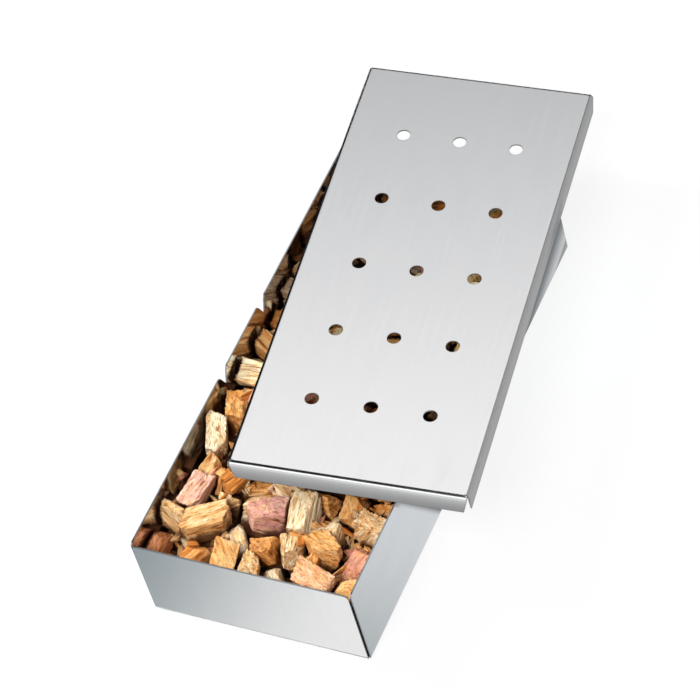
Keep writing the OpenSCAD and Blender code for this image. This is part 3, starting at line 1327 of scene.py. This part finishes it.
@dataclass(frozen=True)
class Charge:
    """The charge of wood chips: loose ones on top, more under the lid, and packed layers below.

    Chips get a painted shade where they lie below what is on a ring round them, along the left wall,
    and in the narrow strip left of the lid, from where that shade starts to where it is full.
    """

    loose: ChipShape = ChipShape(steps=24, first_seed=3)
    covered: ChipShape = ChipShape(steps=15, first_seed=907)
    under_lid: str = "chips_under_lid"
    layers: tuple[str, ...] = ("chips_middle_layer", "chips_bottom_layer")
    crumbs: Crumbs = Crumbs()
    seed: int = 57
    tint_bend: Pair = (2.4, 1.8)
    clean_share: float = 0.92
    stain: float = 0.7
    sharp: float = math.radians(55)
    # Where the left wall stands, and the height that it counts as for the painted shade along it.
    wall_inside: float = 46.9 * MM
    wall_shade: float = 46 * MM
    # Painted shade in the gaps: the ring it looks round, and the depths below the ring's tops where it starts
    # and is full.
    shade_ring: float = 3.5 * MM
    shade_depth: Pair = (2.3 * MM, 6.7 * MM)
    # Painted shadow of the lid on the loose chips left of it: its strength, and where along the tray it
    # starts and is full.
    strip_shade: float = 0.85
    strip: Pair = (-20 * MM, 40 * MM)
    shades: tuple[Shade, ...] = (
        shade_at(-43.0, -95.7, 0.30, 0.3),
        shade_at(-24.5, -97.9, 0.42),
        shade_at(-11.5, -99.9, 0.58),
        shade_at(-2.2, -100.8, 0.72),
        shade_at(7.3, -99.0, 0.92),
        shade_at(28.0, -99.2, 0.64, 0.35),
        shade_at(39.3, -101.1, 0.55),
        shade_at(-38.8, -84.1, 0.75),
        shade_at(-26.7, -84.8, 0.64),
        shade_at(-13.1, -87.4, 0.95),
        shade_at(0.2, -89.9, 0.40),
        shade_at(11.5, -86.0, 0.80),
        shade_at(24.2, -85.4, 0.50),
        shade_at(39.3, -85.7, 0.38, 0.6),
        shade_at(-35.0, -73.0, 0.82, 0.7),
        shade_at(-2.7, -74.9, 0.85, 0.9),
        shade_at(10.3, -73.2, 0.92),
        shade_at(22.8, -75.7, 0.85),
        shade_at(38.7, -70.6, 0.72),
        shade_at(-41.0, -44.5, 0.95),
    )

    def look(self, draw: np.random.Generator, given: Look | None = None) -> Look:
        """A chip's look: the given one, or a random one, which is drawn either way."""
        tint, stained = draw.beta(*self.tint_bend), draw.random() > self.clean_share
        return given or Look(float(tint), self.stain if stained else 0.0)

    def given_looks(self, solids: Sequence[Solid]) -> dict[int, Look]:
        """Finds the chips that lie nearest to the shades' places.

        Args:
            solids: The loose chips.

        Returns:
            Their looks, by the chips' numbers.
        """
        middles = np.array([solid.middle for solid in solids])
        places = np.array([[shade.x, shade.y] for shade in self.shades])
        away = np.linalg.norm(middles[None, :, :2] - places[:, None], axis=2)
        return {int(chip): shade.look for shade, chip in zip(self.shades, away.argmin(1))}

    def piece(
        self,
        name: str,
        shape: ChipShape,
        parts: Sequence[SplitSurface],
        looks: Sequence[Look],
        relief: Relief,
        least_shade: float = 0.0,
    ) -> Piece:
        """Makes one piece of shaped chips with the marks that its finish reads.

        Args:
            name: The piece's name.
            shape: How the chips are shaped.
            parts: The chips' surfaces.
            looks: Each chip's look.
            relief: The bed's tops, which set how deep a point lies.
            least_shade: The least painted shade on the piece.

        Returns:
            The piece.
        """
        quads = cube_grid(shape.steps)[1]
        size = len(parts[0].points)
        points = np.concatenate([part.points for part in parts])
        # Painted shade: how far a point lies below the tops round it, eased.
        deep = ease(relief.around(points[:, :2], self.shade_ring) - points[:, 2], *self.shade_depth)
        piece = new_piece(name, points, np.concatenate([quads + size * i for i in range(len(parts))]))
        put_mark(piece, Mark.GRAIN_PLACE, np.concatenate([part.place for part in parts]))
        put_mark(piece, Mark.CUT_END, np.concatenate([part.end for part in parts]))
        put_mark(piece, Mark.PAINTED_SHADE, np.maximum(deep, least_shade))
        put_mark(piece, Mark.TINT, np.repeat([look.tint for look in looks], size))
        put_mark(piece, Mark.BLUSH, np.repeat([look.blush for look in looks], size))
        piece.data.set_sharp_from_angle(angle=self.sharp)
        return piece

    def build(self, wood: SplitWood, shaded: ShadedWood) -> None:
        """Shapes every chip that can be seen, and dresses the layers below.

        Args:
            wood: The chips' finish.
            shaded: The finish of the layers below.
        """
        draw = np.random.default_rng(self.seed)
        finish = wood.material()
        names = sorted(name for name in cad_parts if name.startswith("chip_"))
        solids = [Solid.of(node_triangles(name)) for name in names]
        hidden = [Solid.of(part) for part in split_solids(node_triangles(self.under_lid))]
        loose, covered = self.loose.surfaces(solids), self.covered.surfaces(hidden)
        half = np.array(self.crumbs.half_bed) + self.crumbs.margin_rings * self.crumbs.ring
        bed = Relief.of(np.concatenate([part.points for part in loose + covered]), half)
        # Painted shade along the left wall, which counts as standing 46 mm high.
        relief = bed.walled(self.wall_inside, self.wall_shade)
        given = self.given_looks(solids)
        for index, (name, part) in enumerate(zip(names, loose)):
            look = self.look(draw, given.get(index))
            # Painted shadow of the lid, on the chips in the strip left of it.
            painted_lid_shadow = self.strip_shade * ease(solids[index].middle[1], *self.strip)
            piece = self.piece("wood_" + name, self.loose, [part], [look], relief, painted_lid_shadow)
            settle(piece, finish, Body.TRAY, Slot.WOOD, name)
        looks = [self.look(draw) for _ in hidden]
        piece = self.piece("wood_" + self.under_lid, self.covered, covered, looks, relief)
        settle(piece, finish, Body.TRAY, Slot.WOOD, self.under_lid)
        blocks = [self.crumbs.solid(middle, draw) for middle in self.crumbs.places(bed, draw)]
        looks = [self.look(draw) for _ in blocks]
        crumbs = self.crumbs.shape.surfaces(blocks)
        piece = self.piece("wood_crumbs", self.crumbs.shape, crumbs, looks, relief)
        settle(piece, finish, Body.TRAY, Slot.WOOD)
        below = shaded.material()
        for name in self.layers:
            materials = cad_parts[name].data.materials
            materials.clear()
            materials.append(below)


@dataclass(frozen=True)
class PhotoCamera:
    """The camera that took the photograph, found from the box's own corners and vents."""

    azimuth: float = math.radians(36.4397)
    elevation: float = math.radians(48.8716)
    roll: float = math.radians(-17.3915)
    distance: float = 1477.589 * MM
    right: float = -2.7925 * MM
    up: float = 16.4294 * MM
    aim: Vector = Vector((0, 0, 0.021))
    focal_pixels: float = 3669.75
    image_pixels: float = 700
    sensor: float = 36

    def build(self) -> Piece:
        """Makes the camera and gives it to the scene.

        Returns:
            The camera.
        """
        level, rise = math.cos(self.elevation), math.sin(self.elevation)
        back = Vector((math.sin(self.azimuth) * level, -math.cos(self.azimuth) * level, rise))
        side = Vector((math.cos(self.azimuth), math.sin(self.azimuth), 0))
        top = back.cross(side)
        c, s = math.cos(self.roll), math.sin(self.roll)
        right, up = c * side + s * top, c * top - s * side
        data = bpy.data.cameras.new("photo_camera")
        data.sensor_width = self.sensor
        data.lens = self.focal_pixels / self.image_pixels * self.sensor
        camera = bpy.data.objects.new("photo_camera", data)
        bpy.context.scene.collection.objects.link(camera)
        place = Matrix((right, up, back)).transposed().to_4x4()
        place.translation = self.aim + back * self.distance + right * self.right + up * self.up
        camera.matrix_world = place
        bpy.context.scene.camera = camera
        return camera


def glossy_only(thing: Piece, material: bpy.types.Material) -> Piece:
    """Dresses a card and lets it show in the metal alone.

    Args:
        thing: The card.
        material: Its light.

    Returns:
        The card.
    """
    thing.data.materials.append(material)
    thing.visible_camera = thing.visible_diffuse = thing.visible_shadow = False
    thing.visible_transmission = thing.visible_volume_scatter = False
    return thing


@dataclass(frozen=True)
class Card:
    """A card that only shows in the metal: its middle, its two edges, its light from foot to head."""

    name: str
    middle: Sequence[float]
    across: Sequence[float]
    rise: Sequence[float]
    foot: Colour
    head: Colour
    fade: float = 1.0

    def build(self) -> Piece:
        """Makes the card, whose front faces across times rise and whose back lets all through.

        Its points are P(u, v) = middle + u across + v rise, with u and v from -1/2 to 1/2.
        Its light is eased from foot to head by a point's share of the rise, over the last fade of it.

        Returns:
            The card.
        """
        u, v = (side[..., None] for side in np.meshgrid([-0.5, 0.5], [-0.5, 0.5], indexing="ij"))
        patches = Patches()
        patches.add(np.array(self.middle) + u * np.array(self.across) + v * np.array(self.rise))
        shader, material = Shader.of_material(self.name)
        rise = Vector(self.rise)
        from_foot = {0: shader.object_place(), 1: tuple(Vector(self.middle) - rise / 2)}
        offset = shader.link("ShaderNodeVectorMath", {"operation": "SUBTRACT"}, from_foot)
        along = {0: offset, 1: tuple(rise / rise.length_squared)}
        high = shader.value("ShaderNodeVectorMath", {"operation": "DOT_PRODUCT"}, along, "Value")
        glow = shader.glow(shader.mix(high.eased(1 - self.fade, 1), self.foot, self.head))
        back = shader.link("ShaderNodeNewGeometry", out="Backfacing")
        shader.surface(shader.blend(back, glow, shader.link("ShaderNodeBsdfTransparent")))
        return glossy_only(patches.piece(self.name), material)


def floor_card(
    name: str, middle: Pair, across: Pair, rise: Pair, foot: Colour, head: Colour, drop: float = 0.2 * MM
) -> Card:
    """A card that lies on the floor, a little lower than the tray's base."""
    return Card(name, (*middle, -drop), (*across, 0), (*rise, 0), foot, head)


@dataclass(frozen=True)
class SkyBand:
    """A part of the studio's walls that only shows in the metal: its bounds, its light from foot to head.

    In degrees, left and right are bearings from the rear, to the right; low and high are elevations.
    """

    name: str
    left: float
    right: float
    low: float
    high: float
    foot: float
    head: float
    radius: float = 2.6
    rows: int = 17
    columns: int = 49

    def build(self) -> Piece:
        """Makes the band as a patch of a sphere, by bearing a and elevation e.

        Its points are radius times (sin a cos e, cos a cos e, sin e).
        Its light is eased from foot to head by height.

        Returns:
            The band.
        """
        low, high = math.radians(self.low), math.radians(self.high)
        span = np.linspace(math.radians(self.left), math.radians(self.right), self.columns)
        e, a = np.meshgrid(np.linspace(low, high, self.rows), span, indexing="ij")
        patches = Patches()
        patches.add(self.radius * np.stack([np.sin(a) * np.cos(e), np.cos(a) * np.cos(e), np.sin(e)], -1))
        shader, material = Shader.of_material(self.name)
        rise = shader.value("ShaderNodeSeparateXYZ", {}, {0: shader.object_place()}, "Z") * (1 / self.radius)
        colour = shader.mix(rise.eased(math.sin(low), math.sin(high)), grey(self.foot), grey(self.head))
        shader.surface(shader.glow(colour))
        return glossy_only(patches.piece(self.name), material)


@dataclass(frozen=True)
class Lamp:
    """A soft lamp that points at a place and isn't seen itself: its size in metres and its power in watts."""

    name: str
    place: Sequence[float]
    aim: Sequence[float]
    size: Pair
    power: float
    tint: Triple = (1.0, 1.0, 1.0)

    def build(self) -> Piece:
        """Makes the lamp.

        Returns:
            The lamp.
        """
        data = bpy.data.lights.new(self.name, "AREA")
        data.shape = "RECTANGLE"
        data.size, data.size_y = self.size
        data.energy = self.power
        data.color = self.tint
        lamp = bpy.data.objects.new(self.name, data)
        bpy.context.scene.collection.objects.link(lamp)
        lamp.location = self.place
        lamp.rotation_euler = (Vector(self.aim) - Vector(self.place)).to_track_quat("-Z", "Y").to_euler()
        lamp.visible_camera = lamp.visible_glossy = False
        return lamp


# Lights that the cards and the sky show in the metal.
DARK = 0.012
LID_FOOT, LID_HEAD = (0.62, 0.63, 0.64, 1.0), (1.24, 1.225, 1.225, 1.0)
FRONT_GREY, FRONT_WHITE = (0.35, 0.40, 0.42, 1.0), (1.0, 0.995, 0.99, 1.0)
SIDE_GREY, SIDE_PALE = (0.35, 0.39, 0.40, 1.0), (0.75, 0.775, 0.80, 1.0)
# The shade cards' lights and the rear cards' darks are a painted shadow of the lid on the floor, as the metal
# shows it.
SHADE_FOOT, SHADE_HEAD = (0.17, 0.18, 0.19, 1.0), (0.22, 0.235, 0.245, 1.0)
REAR_SHADOW = (0.18, 0.19, 0.20, 1.0)
REAR_SHADE, REAR_PALE = (0.20, 0.215, 0.225, 1.0), (0.67, 0.685, 0.695, 1.0)

# The long edge that both rear floor cards have.
REAR_EDGE = (0.01313, 0.10417)


@dataclass(frozen=True)
class Studio:
    """A pale floor, a white surround, soft lamps, and the cards that give the metal its reflections."""

    floor_drop: float = 0.4 * MM
    floor_half: float = 3.0
    floor_tone: Colour = grey(0.86)
    floor_in_metal: Colour = grey(0.5)
    floor_glow: float = 0.88
    white: Colour = grey(1.0)
    world_fill: float = 0.26
    edge_reach: float = 300 * MM
    edge_fade: float = 11 * MM
    edge_drop: float = 0.3 * MM
    edge_pale: Colour = grey(0.82)
    edge_shade: Colour = grey(0.34)
    sky: tuple[SkyBand, ...] = (
        SkyBand("dark_rear_sky", -78, 17, 0.5, 50, DARK, DARK),
        SkyBand("grey_left_sky", -125, -78, 0.5, 50, 0.42, 0.55),
        SkyBand("grey_right_sky", 17, 100, 0.5, 50, 0.42, 0.36),
        SkyBand("bright_front_sky", 100, 235, 0.5, 50, 0.75, 1.7),
        SkyBand("dark_overhead", -180, -5, 50, 89.5, DARK, DARK),
        SkyBand("grey_overhead", -5, 180, 50, 89.5, 0.40, 0.50),
    )
    cards: tuple[Card, ...] = (
        Card("lid_card", (-0.125, 0.375, 0.47), (0.46, 0.19, 0.0), (0.10, -0.255, 0.24), LID_FOOT, LID_HEAD),
        floor_card("front_floor_card", (-0.0215, -0.142), (0, -0.066), (0.113, 0), FRONT_GREY, FRONT_WHITE),
        floor_card("front_left_floor_card", (-0.103, -0.142), (0, -0.066), (0.05, 0), FRONT_GREY, FRONT_GREY),
        floor_card(
            "front_right_floor_card", (0.041, -0.142), (0, -0.066), (0.012, 0), FRONT_WHITE, FRONT_WHITE
        ),
        floor_card("side_floor_card", (0.0887, -0.0983), (0.0824, 0), (0, 0.1235), SIDE_GREY, SIDE_PALE),
        # The next four cards paint the lid's shadow on the floor, as the tray's right wall shows it.
        floor_card(
            "shade_edge_floor_card", (0.0566, -0.0343), (0.0182, 0), (0, 0.0045), SIDE_PALE, SHADE_FOOT
        ),
        floor_card("shade_floor_card", (0.0566, -0.001), (0.0182, 0), (0, 0.0622), SHADE_FOOT, SHADE_HEAD),
        floor_card(
            "rear_floor_card", (0.0492, 0.0825), REAR_EDGE, (-0.00496, 0.000625), REAR_SHADE, REAR_PALE
        ),
        floor_card(
            "rear_shadow_floor_card", (0.0532, 0.0825), REAR_EDGE, (-0.00298, 0.000375), REAR_SHADOW, REAR_SHADE
        ),
        floor_card(
            "right_floor_card", (0.2395, 0.195), (0.419, 0), (0, 0.71), grey(0.42), grey(0.40), 0.3 * MM
        ),
    )
    lamps: tuple[Lamp, ...] = (
        Lamp("key_lamp", (-1.0, 0.2, 0.9), (0, -0.03, 0.03), (0.5, 0.5), 21),
        Lamp("fill_lamp", (0.1, -0.95, 1.3), (0, 0, 0.03), (0.7, 0.7), 25),
    )
    vent_lamp_drop: float = 2 * MM
    vent_lamp_size: Pair = (70 * MM, 180 * MM)
    vent_lamp_power: float = 0.03
    vent_lamp_tint: Triple = (0.62, 0.86, 1.0)

    def edge_cards(self, lid: Lid) -> tuple[Card, ...]:
        """The large cards level with the lower edges of the lid's flanges, ahead of the lid and on its left.

        Args:
            lid: The lid.

        Returns:
            A pale card that darkens close to the front flange, and a dark one along the left flange.
        """
        axes, middle = lid.pose()
        across, along, up = axes.T
        reach = self.edge_reach
        low = middle - up * (lid.flange_height + self.edge_drop)
        ahead = low - along * (lid.length + reach) / 2
        left = low - across * (lid.width + reach) / 2
        fade = self.edge_fade / reach
        return (
            Card("front_card", ahead, across * reach, along * reach, self.edge_pale, self.edge_shade, fade),
            Card("dark_left_card", left, across * reach, along * lid.length, grey(DARK), grey(DARK)),
        )

    def vent_lamp(self, lid: Lid) -> Lamp:
        """The faint lamp under the lid's top, for the daylight that falls on the chips through the vents.

        Args:
            lid: The lid.

        Returns:
            The lamp.
        """
        axes, middle = lid.pose()
        place, aim = middle - axes[:, 2] * self.vent_lamp_drop, middle - axes[:, 2]
        return Lamp("vent_lamp", place, aim, self.vent_lamp_size, self.vent_lamp_power, self.vent_lamp_tint)

    def floor(self) -> Piece:
        """Makes the floor: pale, lit as it lies, and brightened towards white for the camera.

        Returns:
            The floor.
        """
        span = self.floor_half * np.array([-1, 0, 1])
        y, x = np.meshgrid(span, span)
        patches = Patches()
        patches.add(np.stack([x, y, np.full_like(x, -self.floor_drop)], -1))
        floor = patches.piece("floor")
        shader, material = Shader.of_material("pale_floor")
        path = shader.node("ShaderNodeLightPath").outputs
        colour = shader.mix(path["Is Glossy Ray"], self.floor_tone, self.floor_in_metal)
        lit = shader.link("ShaderNodeBsdfDiffuse", {}, {"Color": colour})
        share = Value(shader, path["Is Camera Ray"]) * self.floor_glow
        shader.surface(shader.blend(share, lit, shader.glow(self.white)))
        floor.data.materials.append(material)
        return floor

    def surround(self) -> None:
        """Makes the world: white to the camera and in the metal, softer as light."""
        world = bpy.data.worlds.new("white_surround")
        world.use_nodes = True
        bpy.context.scene.world = world
        shader = Shader(world.node_tree)
        path = shader.node("ShaderNodeLightPath").outputs
        seen = Value(shader, path["Is Camera Ray"]) + Value(shader, path["Is Glossy Ray"])
        strength = self.world_fill + (1.0 - self.world_fill) * seen
        light = shader.link("ShaderNodeBackground", {}, {"Color": self.white, "Strength": strength})
        shader.node("ShaderNodeOutputWorld", {}, {"Surface": light})

    def build(self, lid: Lid) -> None:
        """Makes floor, surround, cards and lamps.

        Args:
            lid: The lid, as it lies.
        """
        self.floor()
        self.surround()
        for part in (*self.sky, *self.cards, *self.edge_cards(lid), *self.lamps, self.vent_lamp(lid)):
            part.build()
        bpy.context.scene.view_settings.view_transform = "Standard"


def main() -> None:
    """Builds the camera, the pieces in order and the studio."""
    logging.basicConfig(level=logging.INFO, format="%(name)s: %(message)s")
    PhotoCamera().build()
    Tray().build(StainlessSheet("tray_stainless", gloss=0.08))
    lid = Lid()
    lid.build(StainlessSheet("lid_stainless"))
    Charge().build(SplitWood(), ShadedWood())
    Studio().build(lid)


if __name__ == "__main__":
    main()
